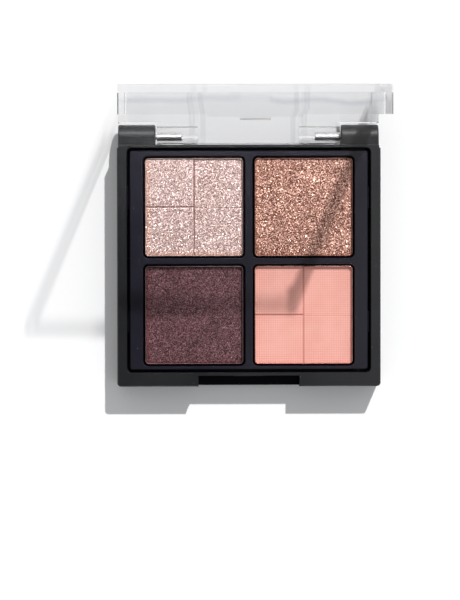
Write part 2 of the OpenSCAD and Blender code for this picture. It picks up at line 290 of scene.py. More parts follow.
def fade(tree, value, start, end, first=0.0, last=1.0):
    """Output that runs from first to last while the value runs from start to end."""
    return add_node(tree, "ShaderNodeMapRange", {
        "Value": value, "From Min": start, "From Max": end, "To Min": first, "To Max": last}).outputs[0]


def axes(tree, vector):
    """X, Y and Z of a vector."""
    return add_node(tree, "ShaderNodeSeparateXYZ", {0: vector}).outputs


def object_place(tree):
    """Object coordinates, which keep a pattern on its piece wherever the piece goes."""
    return add_node(tree, "ShaderNodeTexCoord").outputs["Object"]


def attribute(tree, name):
    """Value that a mesh holds under the name."""
    return add_node(tree, "ShaderNodeAttribute", attribute_name=name).outputs["Fac"]


def stretched(tree, place, scales):
    """Coordinates for a pattern that is drawn out along the axes with the smaller scales."""
    return add_node(tree, "ShaderNodeMapping", {"Vector": place, "Scale": scales}).outputs[0]


def cloud(tree, place, scale, detail, **others):
    """Value of a noise pattern."""
    inputs = {"Vector": place, "Scale": scale, "Detail": detail, **others}
    return add_node(tree, "ShaderNodeTexNoise", inputs).outputs["Fac"]


def blend_color(tree, factor, a, b, mode="MIX"):
    """Output of a colour mix."""
    made = add_node(tree, "ShaderNodeMix", {0: factor, 6: a, 7: b}, data_type="RGBA", blend_type=mode)
    return made.outputs[2]


def ramp(tree, factor, stops):
    """Output of a colour ramp with the given (position, colour) stops."""
    made = add_node(tree, "ShaderNodeValToRGB", {"Fac": factor})
    elements = made.color_ramp.elements
    while len(elements) < len(stops):
        elements.new(0.5)
    for element, (place, color) in zip(elements, stops):
        element.position = place
        element.color = rgba(color)
    return made.outputs["Color"]


def rgba(color):
    """A colour with full alpha."""
    return (color[0], color[1], color[2], 1.0)


def new_group(name, inputs, outputs):
    """A shader node group with its sockets, and its input and output nodes."""
    tree = bpy.data.node_groups.new(name, "ShaderNodeTree")
    for label, kind, default in inputs:
        socket = tree.interface.new_socket(label, in_out="INPUT", socket_type=kind)
        socket.default_value = default
    for label, kind in outputs:
        tree.interface.new_socket(label, in_out="OUTPUT", socket_type=kind)
    return tree, tree.nodes.new("NodeGroupInput").outputs, tree.nodes.new("NodeGroupOutput").inputs


def moulded_plastic_group():
    """Satin grain, faint flow marks and dust of a moulded face."""
    tree, given, put = new_group(
        "Moulded plastic",
        [("Color", "NodeSocketColor", (0.01, 0.01, 0.01, 1)), ("Roughness", "NodeSocketFloat", 0.4),
         ("Grain Size", "NodeSocketFloat", 0.0001), ("Dust", "NodeSocketFloat", 0.3)],
        [("Color", "NodeSocketColor"), ("Roughness", "NodeSocketFloat"), ("Height", "NodeSocketFloat")])
    place = object_place(tree)
    grain = cloud(tree, place, calc(tree, "DIVIDE", 1.0, given["Grain Size"]), 2.0)
    flow = cloud(tree, place, 130.0, 3.0, Distortion=0.6)
    specks = add_node(tree, "ShaderNodeTexVoronoi", {"Vector": place, "Scale": 1300.0, "Randomness": 1.0})
    chosen = add_node(tree, "ShaderNodeSeparateColor", {"Color": specks.outputs["Color"]}).outputs["Red"]
    rare = calc(tree, "GREATER_THAN", chosen, 0.93)
    close = calc(tree, "LESS_THAN", specks.outputs["Distance"], 0.12)
    dust = calc(tree, "MULTIPLY", calc(tree, "MULTIPLY", rare, close), given["Dust"])
    paler = blend_color(tree, 1.0, given["Color"], (1.5, 1.5, 1.55, 1), "MULTIPLY")
    mottled = blend_color(tree, calc(tree, "MULTIPLY", flow, 0.5), given["Color"], paler)
    tree.links.new(blend_color(tree, dust, mottled, (0.30, 0.27, 0.27, 1)), put["Color"])
    worn = calc(tree, "MULTIPLY_ADD", flow, 0.14, -0.07)
    fine = calc(tree, "MULTIPLY_ADD", grain, 0.12, -0.06)
    rough = calc(tree, "ADD", calc(tree, "ADD", given["Roughness"], worn), fine)
    tree.links.new(rough, put["Roughness"])
    tree.links.new(calc(tree, "ADD", grain, dust), put["Height"])
    return tree


def pearl_group():
    """Packed pearl grains: a random tone, gloss and tilt for each grain."""
    tree, given, put = new_group(
        "Pearl grains",
        [("Dark", "NodeSocketColor", (0.1, 0.05, 0.04, 1)), ("Middle", "NodeSocketColor", (0.4, 0.3, 0.3, 1)),
         ("Light", "NodeSocketColor", (0.9, 0.8, 0.8, 1)), ("Grain Size", "NodeSocketFloat", 0.0002),
         ("Tilt", "NodeSocketFloat", 0.4), ("Spread", "NodeSocketFloat", 1.0)],
        [("Color", "NodeSocketColor"), ("Sparkle", "NodeSocketFloat"), ("Normal", "NodeSocketVector")])
    place = object_place(tree)
    scale = calc(tree, "DIVIDE", 1.0, given["Grain Size"])
    cells = add_node(tree, "ShaderNodeTexVoronoi", {"Vector": place, "Scale": scale, "Randomness": 1.0})
    grit = cloud(tree, place, scale, 4.0, Roughness=0.7)
    drift = cloud(tree, place, 260.0, 2.0)
    tone = add_node(tree, "ShaderNodeSeparateColor", {"Color": cells.outputs["Color"]}).outputs
    mixed = calc(tree, "ADD", calc(tree, "MULTIPLY", tone["Red"], 0.62),
                 calc(tree, "MULTIPLY_ADD", grit, 0.9, -0.26))
    drifted = calc(tree, "ADD", mixed, calc(tree, "MULTIPLY_ADD", drift, 0.3, -0.15))
    centred = calc(tree, "MULTIPLY_ADD", calc(tree, "SUBTRACT", drifted, 0.5), given["Spread"], 0.5)
    low = blend_color(tree, calc(tree, "MULTIPLY", centred, 2.0), given["Dark"], given["Middle"])
    high_part = calc(tree, "MULTIPLY_ADD", centred, 2.0, -1.0)
    tree.links.new(blend_color(tree, high_part, low, given["Light"]), put["Color"])
    tree.links.new(calc(tree, "GREATER_THAN", tone["Green"], 0.5), put["Sparkle"])
    lean = vector_calc(tree, "SUBTRACT", {0: cells.outputs["Color"], 1: (0.5, 0.5, 0.5)})
    leaned = vector_calc(tree, "SCALE", {0: lean, "Scale": given["Tilt"]})
    face = add_node(tree, "ShaderNodeNewGeometry").outputs["Normal"]
    tipped = vector_calc(tree, "ADD", {0: face, 1: leaned})
    tree.links.new(vector_calc(tree, "NORMALIZE", {0: tipped}), put["Normal"])
    return tree


def use_group(tree, name, build, inputs):
    """The named group placed in a material; it is built the first time it is asked for."""
    group = bpy.data.node_groups.get(name) or build()
    return add_node(tree, "ShaderNodeGroup", inputs, node_tree=group).outputs


def new_material(name, inputs):
    """A material with one Principled BSDF; returns it with its tree and shader."""
    material = bpy.data.materials.new(name)
    material.use_nodes = True
    tree = material.node_tree
    shader = tree.nodes["Principled BSDF"]
    for label, value in inputs.items():
        shader.inputs[label].default_value = value
    return material, tree, shader


def bump(tree, height, distance, strength=1.0):
    """Normal that a pattern of heights gives."""
    inputs = {"Height": height, "Distance": distance, "Strength": strength}
    return add_node(tree, "ShaderNodeBump", inputs).outputs[0]


# ---------------------------------------------------------------- mesh helpers


def new_piece(name, bm, material):
    """An object at the origin made from a bmesh, with its material."""
    mesh = bpy.data.meshes.new(name)
    bm.to_mesh(mesh)
    bm.free()
    mesh.materials.append(material)
    piece = bpy.data.objects.new(name, mesh)
    bpy.context.scene.collection.objects.link(piece)
    return piece


def smooth(piece, crease):
    """Smooth shading that stays crisp where faces turn by more than the crease, in degrees."""
    piece.data.shade_smooth()
    piece.data.set_sharp_from_angle(angle=math.radians(crease))


def closed_piece(name, bm, material, crease):
    """A smooth object from a closed bmesh, with its faces turned outwards."""
    bmesh.ops.recalc_face_normals(bm, faces=bm.faces)
    piece = new_piece(name, bm, material)
    smooth(piece, crease)
    return piece


def fasten(piece, body, slot, *nodes):
    """Attaches a finished piece to the body it rides on and hides the CAD nodes it stands for; its slot,
    naming its finish, is not used.
    """
    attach(piece, body)
    if nodes:
        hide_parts(*nodes)


def moulded_copy(node, name, material):
    """A welded copy of a CAD node's mesh, smooth over its curves and crisp at its edges."""
    bm = bmesh.new()
    bm.from_mesh(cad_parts[node].data)
    bmesh.ops.remove_doubles(bm, verts=bm.verts, dist=0.0002 * MM)
    bmesh.ops.dissolve_limit(bm, angle_limit=math.radians(0.4), verts=bm.verts, edges=bm.edges)
    piece = new_piece(name, bm, material)
    smooth(piece, 28)
    weighted = piece.modifiers.new("Flat faces first", "WEIGHTED_NORMAL")
    weighted.keep_sharp = True
    weighted.weight = 100
    return piece


def rounded_square(half, radius, steps):
    """Points of a rounded square, counter-clockwise, with an arc of equal steps at each corner."""
    points = []
    reach = half - radius
    for corner in range(4):
        start = corner * math.pi / 2
        sx, sy = ((1, 1), (-1, 1), (-1, -1), (1, -1))[corner]
        for step in range(steps + 1):
            angle = start + step / steps * math.pi / 2
            points.append((sx * reach + radius * math.cos(angle), sy * reach + radius * math.sin(angle)))
    return points


def ring_of(bm, points, centre, z):
    """Vertices at the points, moved to the centre and lifted to the height."""
    return [bm.verts.new((centre[0] + x, centre[1] + y, z)) for x, y in points]


def bridge(bm, lower, upper):
    """Quads between two closed rings of the same count."""
    count = len(lower)
    for i in range(count):
        j = (i + 1) % count
        bm.faces.new((lower[i], lower[j], upper[j], upper[i]))


def stack(bm, rings):
    """A closed skin over the rings, with a flat face on the first and the last."""
    for ring, following in zip(rings, rings[1:]):
        bridge(bm, ring, following)
    bm.faces.new(reversed(rings[0]))
    bm.faces.new(rings[-1])


def arc_profile(centre, radius, start, end, steps):
    """Points (inset, height) along an arc, angles in degrees."""
    turn = (end - start) / steps
    return [(centre[0] + radius * math.cos(math.radians(start + turn * i)),
             centre[1] + radius * math.sin(math.radians(start + turn * i))) for i in range(steps + 1)]


# ---------------------------------------------------------------- materials


def plastic(name, color, roughness, grain_size, dust, gloss=0.5):
    """Satin moulded plastic."""
    material, tree, shader = new_material(name, {"IOR": 1.5, "Specular IOR Level": gloss})
    look = use_group(tree, "Moulded plastic", moulded_plastic_group,
                     {"Color": rgba(color), "Roughness": roughness, "Grain Size": grain_size, "Dust": dust})
    tree.links.new(look["Color"], shader.inputs["Base Color"])
    tree.links.new(look["Roughness"], shader.inputs["Roughness"])
    tree.links.new(bump(tree, look["Height"], 0.004 * MM, 0.5), shader.inputs["Normal"])
    return material


def tinplate(shade, tint):
    """Thin drawn sheet with rolling lines and small scuffs, tinted towards the colour of the powder it holds.
    """
    finish = bpy.context.scene.compact_metal
    material, tree, shader = new_material("tinplate_" + shade, {"Metallic": 1.0})
    place = object_place(tree)
    rolled = stretched(tree, place, (600.0, 9000.0, 600.0))
    lines = cloud(tree, rolled, 1.0, 3.0)
    scuffs = cloud(tree, place, 900.0, 4.0)
    tinted_tin = tuple(channel * share for channel, share in zip(finish.tin_color, tint))
    dark = tuple(0.72 * channel for channel in tinted_tin)
    tree.links.new(ramp(tree, scuffs, [(0.35, dark), (0.62, tinted_tin)]), shader.inputs["Base Color"])
    tree.links.new(calc(tree, "MULTIPLY_ADD", lines, 0.3, 0.16), shader.inputs["Roughness"])
    tree.links.new(bump(tree, lines, 0.006 * MM, 0.6), shader.inputs["Normal"])
    return material


def drawn_steel():
    """Wire with lengthwise drawing marks."""
    finish = bpy.context.scene.compact_metal
    material, tree, shader = new_material("drawn_steel", {"Metallic": 1.0})
    place = object_place(tree)
    drawn = stretched(tree, place, (500.0, 16000.0, 16000.0))
    marks = cloud(tree, drawn, 1.0, 2.0)
    dark = tuple(0.6 * channel for channel in finish.steel_color)
    tree.links.new(ramp(tree, marks, [(0.3, dark), (0.7, finish.steel_color)]), shader.inputs["Base Color"])
    tree.links.new(calc(tree, "MULTIPLY_ADD", marks, 0.15, 0.42), shader.inputs["Roughness"])
    tree.links.new(bump(tree, marks, 0.004 * MM, 0.5), shader.inputs["Normal"])
    return material


def adhesive():
    """Milky tacky glue with small bubbles."""
    material, tree, shader = new_material("adhesive", {"Roughness": 0.35, "Coat Weight": 0.3})
    bubbles = add_node(tree, "ShaderNodeTexVoronoi", {"Vector": object_place(tree), "Scale": 1500.0})
    hollow = bubbles.outputs["Distance"]
    milky = ramp(tree, hollow, [(0.1, (0.82, 0.80, 0.74)), (0.6, (0.70, 0.67, 0.60))])
    tree.links.new(milky, shader.inputs["Base Color"])
    tree.links.new(bump(tree, hollow, 0.01 * MM), shader.inputs["Normal"])
    return material


def matte_powder():
    """Matte peach powder, with painted shade darkening the furrows of its relief."""
    shades = bpy.context.scene.compact_shades
    material, tree, shader = new_material(
        "peach_powder", {"Roughness": 0.9, "Specular IOR Level": 0.25, "Sheen Weight": 0.08})
    place = object_place(tree)
    grit = cloud(tree, place, 7000.0, 3.0)
    clouds = cloud(tree, place, 300.0, 3.0)
    body = ramp(tree, clouds, [(0.35, shades.peach_dark), (0.65, shades.peach_middle)])
    speckled = blend_color(tree, calc(tree, "MULTIPLY", grit, 0.35), body, rgba(shades.peach_light))
    # painted shade: darker where the relief has a furrow
    shaded = blend_color(tree, attribute(tree, "furrow"), speckled, rgba(shades.peach_furrow_shade))
    tree.links.new(shaded, shader.inputs["Base Color"])
    tree.links.new(bump(tree, grit, 0.02 * MM, 0.5), shader.inputs["Normal"])
    return material


def edge_warmed_color(tree, color, warm):
    """A powder's colour, warmer along two of its edges."""
    warmer = blend_color(tree, 1.0, color, rgba(warm), "MULTIPLY")
    return blend_color(tree, attribute(tree, "warm"), color, warmer)


def pearl_powder(shade, warm, grain, tilt, spread, metallic, roughness):
    """Pressed powder packed with pearl grains, in the shade's three tones, with painted shade in its furrows.
    """
    shades = bpy.context.scene.compact_shades
    dark, middle, light = (rgba(getattr(shades, shade + tone)) for tone in ("_dark", "_middle", "_light"))
    material, tree, shader = new_material(shade + "_powder", {"Metallic": metallic})
    look = use_group(tree, "Pearl grains", pearl_group, {
        "Dark": dark, "Middle": middle, "Light": light,
        "Grain Size": grain, "Tilt": tilt, "Spread": spread})
    # painted shade: darker where the relief has a furrow
    shaded = blend_color(tree, attribute(tree, "furrow"), look["Color"], dark)
    tree.links.new(edge_warmed_color(tree, shaded, warm), shader.inputs["Base Color"])
    tree.links.new(look["Normal"], shader.inputs["Normal"])
    tree.links.new(calc(tree, "MULTIPLY_ADD", look["Sparkle"], -0.25, roughness), shader.inputs["Roughness"])
    return material


def flake_material(name, stops, warm):
    """Pearl flakes whose tone differs from flake to flake, with painted shade where they lie in a furrow."""
    material, tree, shader = new_material(name, {"Metallic": 0.85, "Roughness": 0.32})
    toned = ramp(tree, attribute(tree, "tone"), stops)
    # painted shade: darker where the flake lies in a furrow
    shaded = blend_color(tree, attribute(tree, "furrow"), toned, rgba(stops[0][1]))
    tree.links.new(edge_warmed_color(tree, shaded, warm), shader.inputs["Base Color"])
    return material


def facing_axis(tree, along):
    """1 on faces that look along an axis and 0 on others; along is that axis's part of the normal."""
    return calc(tree, "GREATER_THAN", calc(tree, "ABSOLUTE", along), 0.7)


def refraction_shade_tint(tree, coords, tint):
    """Colour of the clear plastic, with painted shade: greyer beside the bosses and behind the fillet of the
    free edge.
    """
    low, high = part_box("lid")
    # the grey is painted shade, standing in for light that the bosses and the fillet bend away
    boss_bands = ((10.9 * MM, 0.6 * MM), (8.75 * MM, 0.5 * MM))  # middle and half width of the grey
    boss_top = low.z + 6.0 * MM
    fillet_y = high.y - 4.1 * MM
    wave_reach = 2.6 * MM  # how far the grey behind the fillet wanders
    band_core, band_half = 0.1 * MM, 0.85 * MM
    free_edge = high.z - 1.5 * MM
    place = axes(tree, coords["Object"])
    side = calc(tree, "ABSOLUTE", place["X"])
    outer, inner = (calc(tree, "COMPARE", side, middle, half) for middle, half in boss_bands)
    beside = calc(tree, "MULTIPLY", calc(tree, "MAXIMUM", outer, inner),
                  calc(tree, "LESS_THAN", place["Z"], boss_top))
    wave = cloud(tree, coords["Object"], 110.0, 1.0)
    waved = calc(tree, "MULTIPLY_ADD", wave, wave_reach, fillet_y)
    away = calc(tree, "ABSOLUTE", calc(tree, "SUBTRACT", place["Y"], waved))
    band = fade(tree, away, band_core, band_half, 0.7, 0.0)
    on_top = calc(tree, "MULTIPLY", facing_axis(tree, axes(tree, coords["Normal"])["Z"]),
                  calc(tree, "GREATER_THAN", place["Z"], free_edge))
    painted_grey = calc(tree, "MULTIPLY_ADD", beside, 0.45, calc(tree, "MULTIPLY", band, on_top))
    # painted shade: grey that stands in for light bent away inside the plastic
    return blend_color(tree, painted_grey, rgba(tint), (0.79, 0.80, 0.83, 1))


def lamp_share(tree, coords, finish):
    """Share of the lamp's light that gets through one face of the lid.

    The plate passes most. The walls pass less towards their lips, least where the lamp strikes
    first, and the wall of the free edge is dimmer in its middle than at its ends.
    """
    low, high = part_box("lid")
    wall_start, lip_start = high.y - 1.6 * MM, high.y - 3.6 * MM
    hinge_end, wall_foot = low.z + 5.0 * MM, low.z + 8.0 * MM
    lit_start = high.x - 1.6 * MM
    lit_foot, lit_full = low.z - 2.0 * MM, low.z + 9.0 * MM
    edge_stops = [(0.25, 0.86), (0.36, 0.40), (0.62, 0.42), (0.70, 0.7)]
    place = axes(tree, coords["Object"])
    normal = axes(tree, coords["Normal"])
    on_wall = calc(tree, "SUBTRACT", 1.0, facing_axis(tree, normal["Y"]))
    near_lip = calc(tree, "MULTIPLY", fade(tree, place["Y"], wall_start, lip_start),
                    fade(tree, place["Z"], hinge_end, wall_foot))
    facing = add_node(tree, "ShaderNodeLayerWeight", {"Blend": 0.5}).outputs["Facing"]
    grazed = calc(tree, "GREATER_THAN", facing, 0.5)
    wall = between(tree, grazed, finish.wall_pass, finish.wall_pass * finish.graze_pass)
    across = fade(tree, place["X"], low.x, high.x)
    clearness = ramp(tree, across, [(stop, (grey, grey, grey)) for stop, grey in edge_stops])
    free_edge = calc(tree, "MULTIPLY", clearness, finish.graze_pass)
    wall = between(tree, facing_axis(tree, normal["Z"]), wall, free_edge)
    through = between(tree, calc(tree, "MULTIPLY", on_wall, near_lip), finish.plate_pass, wall)
    lit_wall = calc(tree, "MULTIPLY", on_wall, calc(tree, "GREATER_THAN", place["X"], lit_start))
    lit_wall = calc(tree, "MULTIPLY", lit_wall, fade(tree, place["Z"], lit_foot, lit_full))
    return between(tree, lit_wall, through, finish.lit_pass)


def clear_plastic():
    """Clear moulded plastic; lamps reach what it covers, dimmed by the faces they pass."""
    finish = bpy.context.scene.compact_lid
    most_bounces = 7.5  # light that is caught inside goes straight on after these
    material, tree, shader = new_material("clear_plastic", {
        "Base Color": rgba(finish.tint), "Roughness": 0.0, "IOR": finish.ior, "Transmission Weight": 1.0})
    coords = add_node(tree, "ShaderNodeTexCoord").outputs
    tree.links.new(refraction_shade_tint(tree, coords, finish.tint), shader.inputs["Base Color"])
    through = lamp_share(tree, coords, finish)
    dimming = add_node(tree, "ShaderNodeCombineColor", {0: through, 1: through, 2: through}).outputs[0]
    shadow = add_node(tree, "ShaderNodeBsdfTransparent", {"Color": dimming}).outputs[0]
    rays = add_node(tree, "ShaderNodeLightPath").outputs
    lamp_ray = calc(tree, "MAXIMUM", rays["Is Shadow Ray"], rays["Is Diffuse Ray"])
    trapped = calc(tree, "GREATER_THAN", rays["Ray Depth"], most_bounces)
    straight = calc(tree, "MAXIMUM", lamp_ray, trapped)
    mixed = add_node(tree, "ShaderNodeMixShader", {0: straight, 1: shader.outputs[0], 2: shadow}).outputs[0]
    tree.links.new(mixed, tree.nodes["Material Output"].inputs["Surface"])
    return material


# ---------------------------------------------------------------- pans, pins and powders


def pan_piece(shade, material):
    """A thin drawn pan with a rounded lip and a thinner wall round the top of its powder."""
    low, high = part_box("pan_" + shade)
    cake_low, cake_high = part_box("powder_" + shade)
    centre = (low + high) / 2
    half, height = (high.x - low.x) / 2, high.z - low.z
    wall = half - (cake_high.x - cake_low.x) / 2
    floor = cake_low.z - low.z
    step = floor + 0.8 * (cake_high.z - cake_low.z)  # where the wall turns thinner
    rim = bpy.context.scene.compact_metal.rim_width
    lip = rim / 2
    foot = 0.25 * MM
    corner, least_corner = 0.7 * MM, 0.08 * MM
    profile = arc_profile((foot, foot), foot, 270, 180, 4)
    profile += arc_profile((lip, height - lip), lip, 180, 0, 6)
    profile += [(rim, step), (wall, step - lip)]
    profile += [(wall, floor + 0.5 * foot), (wall + 0.5 * foot, floor)]
    bm = bmesh.new()
    rings = []
    for inset, z in profile:
        points = rounded_square(half - inset, max(corner - inset, least_corner), 8)
        rings.append(ring_of(bm, points, centre, low.z + z))
    stack(bm, rings)
    return closed_piece("tin_" + shade, bm, material, 40)


def pin_piece(side, material):
    """A round pin with chamfered ends, turned about the hinge axis."""
    low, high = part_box("hinge_pin_" + side)
    middle = (low + high) / 2
    radius = (high.z - low.z) / 2
    chamfer = bpy.context.scene.compact_metal.pin_chamfer
    segments = 40
    turns = [2 * math.pi * i / segments for i in range(segments)]
    stations = [(low.x, radius - chamfer), (low.x + chamfer, radius),
                (high.x - chamfer, radius), (high.x, radius - chamfer)]
    bm = bmesh.new()
    rings = []
    for x, r in stations:
        circle = [(x, middle.y + r * math.cos(a), middle.z + r * math.sin(a)) for a in turns]
        rings.append([bm.verts.new(spot) for spot in circle])
    stack(bm, rings)
    return closed_piece("pin_" + side, bm, material, 30)


def valley(distance, width):
    """1 in the middle of a furrow, falling to 0 at half its width away."""
    return max(0.0, 1.0 - abs(distance) / (width / 2))


def relief(x, y, half, quartered, weave, roughness, seed):
    """Height of a pressed face over its plain level, and how deep in a furrow the point lies, which sets the
    painted shade there.
    """
    press = bpy.context.scene.compact_press
    height, furrow = 0.0, 0.0
    if weave:
        gap = 0.55 * press.weave_pitch
        along = abs((x / press.weave_pitch) % 1.0 - 0.5) * press.weave_pitch
        across = abs((y / press.weave_pitch) % 1.0 - 0.5) * press.weave_pitch
        groove = max(valley(along, gap), valley(across, gap))
        height -= weave * groove
        furrow = 0.42 * groove
    if quartered:
        mouth = 1.6 * press.line_width
        right_shift, right_depth = 0.2 * MM, 0.35  # the line across is lower and fainter on the right
        height += press.quarter_height if x < 0 < y else 0.0
        level = valley(y, mouth) if x < 0 else right_depth * valley(y + right_shift, mouth)
        cut = max(valley(x, mouth), level)
        height -= press.line_depth * cut
        furrow = max(furrow, 0.9 * cut)
    spot = Vector((x, y, seed)) / MM
    height += roughness * noise.noise(spot * 5.0) + 0.4 * roughness * noise.noise(spot * 13.0)
    edge_width, edge_drop = 0.25 * MM, 0.06 * MM
    inward = half - max(abs(x), abs(y))
    height -= edge_drop * max(0.0, 1.0 - inward / edge_width)
    return height, furrow


def cake_piece(shade, material, roughness, quartered, weave):
    """A pressed cake: a finely pressed top on straight sides and a flat bottom."""
    low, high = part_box("powder_" + shade)
    pan_low, pan_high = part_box("pan_" + shade)
    centre = (low + high) / 2
    half = (pan_high.x - pan_low.x) / 2 - bpy.context.scene.compact_metal.rim_width
    level = high.z - (bpy.context.scene.compact_press.quarter_height if quartered else 0.0)
    corner = 0.5 * MM
    warm_left, warm_front = 1.4 * MM, 1.0 * MM  # widths of the two warmer edges
    cells = 168  # squares along each side of the top
    seed = SHADES.index(shade) * 37.0
    bm = bmesh.new()
    # painted shade: how far into a furrow each point lies, which darkens its colour
    furrow_shade_layer = bm.verts.layers.float.new("furrow")
    warm_layer = bm.verts.layers.float.new("warm")
    grid = []
    for j in range(cells + 1):
        row = []
        for i in range(cells + 1):
            x, y = half * (2 * i / cells - 1), half * (2 * j / cells - 1)
            z, furrow = relief(x, y, half, quartered, weave, roughness, seed)
            warm = max(0.0, 1.0 - (x + half) / warm_left, 1.0 - (y + half) / warm_front)
            over = Vector((max(abs(x) - half + corner, 0.0), max(abs(y) - half + corner, 0.0)))
            if over.x > 0 and over.y > 0 and over.length > corner:
                over = over.normalized() * corner
                x = math.copysign(half - corner + over.x, x)
                y = math.copysign(half - corner + over.y, y)
            vert = bm.verts.new((centre.x + x, centre.y + y, level + z))
            vert[furrow_shade_layer] = furrow
            vert[warm_layer] = min(1.0, 1.6 * warm)
            row.append(vert)
        grid.append(row)
    for j in range(cells):
        for i in range(cells):
            bm.faces.new((grid[j][i], grid[j][i + 1], grid[j + 1][i + 1], grid[j + 1][i]))
    edge = grid[0][:-1] + [row[-1] for row in grid[:-1]] + grid[-1][:0:-1] + [row[0] for row in grid[:0:-1]]
    foot = [bm.verts.new((vert.co.x, vert.co.y, low.z)) for vert in edge]
    bridge(bm, foot, edge)
    bm.faces.new(reversed(foot))
    return closed_piece("cake_" + shade, bm, material, 60)


def flake_tree():
    """Geometry Nodes tree that scatters tilted flakes over the upward faces of a mesh."""
    tree = bpy.data.node_groups.new("Scatter flakes", "GeometryNodeTree")
    sockets = [("Surface", "Geometry", None), ("Density", "Float", 1.0), ("Flake Size", "Float", 0.0002),
               ("Size Spread", "Float", 0.4), ("Tilt", "Float", 0.3), ("Seed", "Int", 1),
               ("Material", "Material", None)]
    for label, kind, default in sockets:
        socket = tree.interface.new_socket(label, in_out="INPUT", socket_type="NodeSocket" + kind)
        if default is not None:
            socket.default_value = default
    tree.interface.new_socket("Flakes", in_out="OUTPUT", socket_type="NodeSocketGeometry")
    given = tree.nodes.new("NodeGroupInput").outputs
    put = tree.nodes.new("NodeGroupOutput").inputs
    normal = add_node(tree, "GeometryNodeInputNormal").outputs[0]
    facing_up = calc(tree, "GREATER_THAN", axes(tree, normal)["Z"], 0.5)
    points = add_node(tree, "GeometryNodeDistributePointsOnFaces", {
        "Mesh": given["Surface"], "Selection": facing_up, "Density": given["Density"], "Seed": given["Seed"]})
    plate = add_node(tree, "GeometryNodeMeshCircle", {
        "Vertices": 6, "Radius": calc(tree, "MULTIPLY", given["Flake Size"], 0.5)}, fill_type="NGON")
    tilt = given["Tilt"]
    lean_low = calc(tree, "MULTIPLY", tilt, -1.0)
    least = add_node(tree, "ShaderNodeCombineXYZ", {0: lean_low, 1: lean_low, 2: 0.0}).outputs[0]
    most = add_node(tree, "ShaderNodeCombineXYZ", {0: tilt, 1: tilt, 2: 2 * math.pi}).outputs[0]
    turn = add_node(tree, "FunctionNodeRandomValue", {0: least, 1: most, "Seed": given["Seed"]},
                    data_type="FLOAT_VECTOR").outputs[0]
    spin = add_node(tree, "FunctionNodeEulerToRotation", {0: turn}).outputs[0]
    smallest = calc(tree, "SUBTRACT", 1.0, given["Size Spread"])
    other_seed = calc(tree, "ADD", given["Seed"], 5.0)
    size = add_node(tree, "FunctionNodeRandomValue", {2: smallest, 3: 1.0, "Seed": other_seed}).outputs[1]
    placed = add_node(tree, "GeometryNodeInstanceOnPoints", {
        "Points": points.outputs["Points"], "Instance": plate.outputs["Mesh"],
        "Rotation": spin, "Scale": size})
    tone_seed = calc(tree, "ADD", given["Seed"], 11.0)
    tone = add_node(tree, "FunctionNodeRandomValue", {2: 0.0, 3: 1.0, "Seed": tone_seed}).outputs[1]
    toned = add_node(tree, "GeometryNodeStoreNamedAttribute", {
        "Geometry": placed.outputs[0], "Name": "tone", "Value": tone}, domain="INSTANCE", data_type="FLOAT")
    real = add_node(tree, "GeometryNodeRealizeInstances", {0: toned.outputs[0]})
    coated = add_node(tree, "GeometryNodeSetMaterial", {
        "Geometry": real.outputs[0], "Material": given["Material"]})
    tree.links.new(coated.outputs[0], put["Flakes"])
    return tree


def scatter_flakes(cake, name, values):
    """Runs the flake tree on a cake and returns the flakes as a plain mesh piece."""
    tree = bpy.data.node_groups.get("Scatter flakes") or flake_tree()
    modifier = cake.modifiers.new("Scatter flakes", "NODES")
    modifier.node_group = tree
    for item in tree.interface.items_tree:
        if item.in_out == "INPUT" and item.name in values:
            modifier[item.identifier] = values[item.name]
    shown = cake.evaluated_get(bpy.context.evaluated_depsgraph_get())
    mesh = bpy.data.meshes.new_from_object(shown)
    mesh.name = name
    cake.modifiers.remove(modifier)
    flakes = bpy.data.objects.new(name, mesh)
    bpy.context.scene.collection.objects.link(flakes)
    return flakes


# ---------------------------------------------------------------- operators


class COMPACT_OT_case(bpy.types.Operator):
    """Dress the case and the pan tray in satin black plastic"""

    bl_idname = "compact.case"
    bl_label = "Case and tray"

    def execute(self, context):
        finish = context.scene.compact_case
        grain = finish.grain_size
        shell = plastic("case_plastic", finish.shell_color, finish.shell_roughness, grain, dust=0.25)
        tray = plastic("tray_plastic", finish.tray_color, finish.tray_roughness, grain, dust=0.35, gloss=0.4)
        # painted shade: the notch plastic is darker and duller for the shadow that falls in the notch
        notch = plastic("notch_plastic", finish.notch_shade_color, 0.6, grain, dust=0.0, gloss=0.12)
        case = moulded_copy("base_shell", "case_moulding", shell)
        self.shade_notch(case, notch)
        fasten(case, "case", "base_shell", "base_shell")
        wells = moulded_copy("pan_tray", "tray_moulding", tray)
        self.ease_mouths(wells)
        fasten(wells, "case", "pan_tray", "pan_tray")
        return {"FINISHED"}

    def ease_mouths(self, wells):
        """Draws the openings of the tray a little wider at their mouths."""
        mouth_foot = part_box("pan_tray")[1].z - 0.5 * MM
        inside, outside = 0.3 * MM, 0.5 * MM  # an opening's edge lies between these from its pan's side
        widening = 0.1 * MM
        for shade in SHADES:
            low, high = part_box("pan_" + shade)
            centre, half = (low + high) / 2, (high.x - low.x) / 2
            for vert in wells.data.vertices:
                across, along = vert.co.x - centre.x, vert.co.y - centre.y
                beyond = max(abs(across), abs(along)) - half
                if vert.co.z > mouth_foot and -inside < beyond < outside:
                    vert.co.x += widening * across / half
                    vert.co.y += widening * along / half

    def shade_notch(self, case, dull):
        """Gives the faces of the thumb notch a darker, duller plastic: painted shade for the shadow that
        falls in the notch.
        """
        low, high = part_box("base_shell")
        notch_half, notch_end = 9.85 * MM, low.y + 2.15 * MM
        notch_floor, rim_top = low.z + 1.5 * MM, high.z - 0.1 * MM
        case.data.materials.append(dull)
        for face in case.data.polygons:
            spot = face.center
            if abs(spot.x) < notch_half and spot.y < notch_end and notch_floor < spot.z < rim_top:
                face.material_index = 1


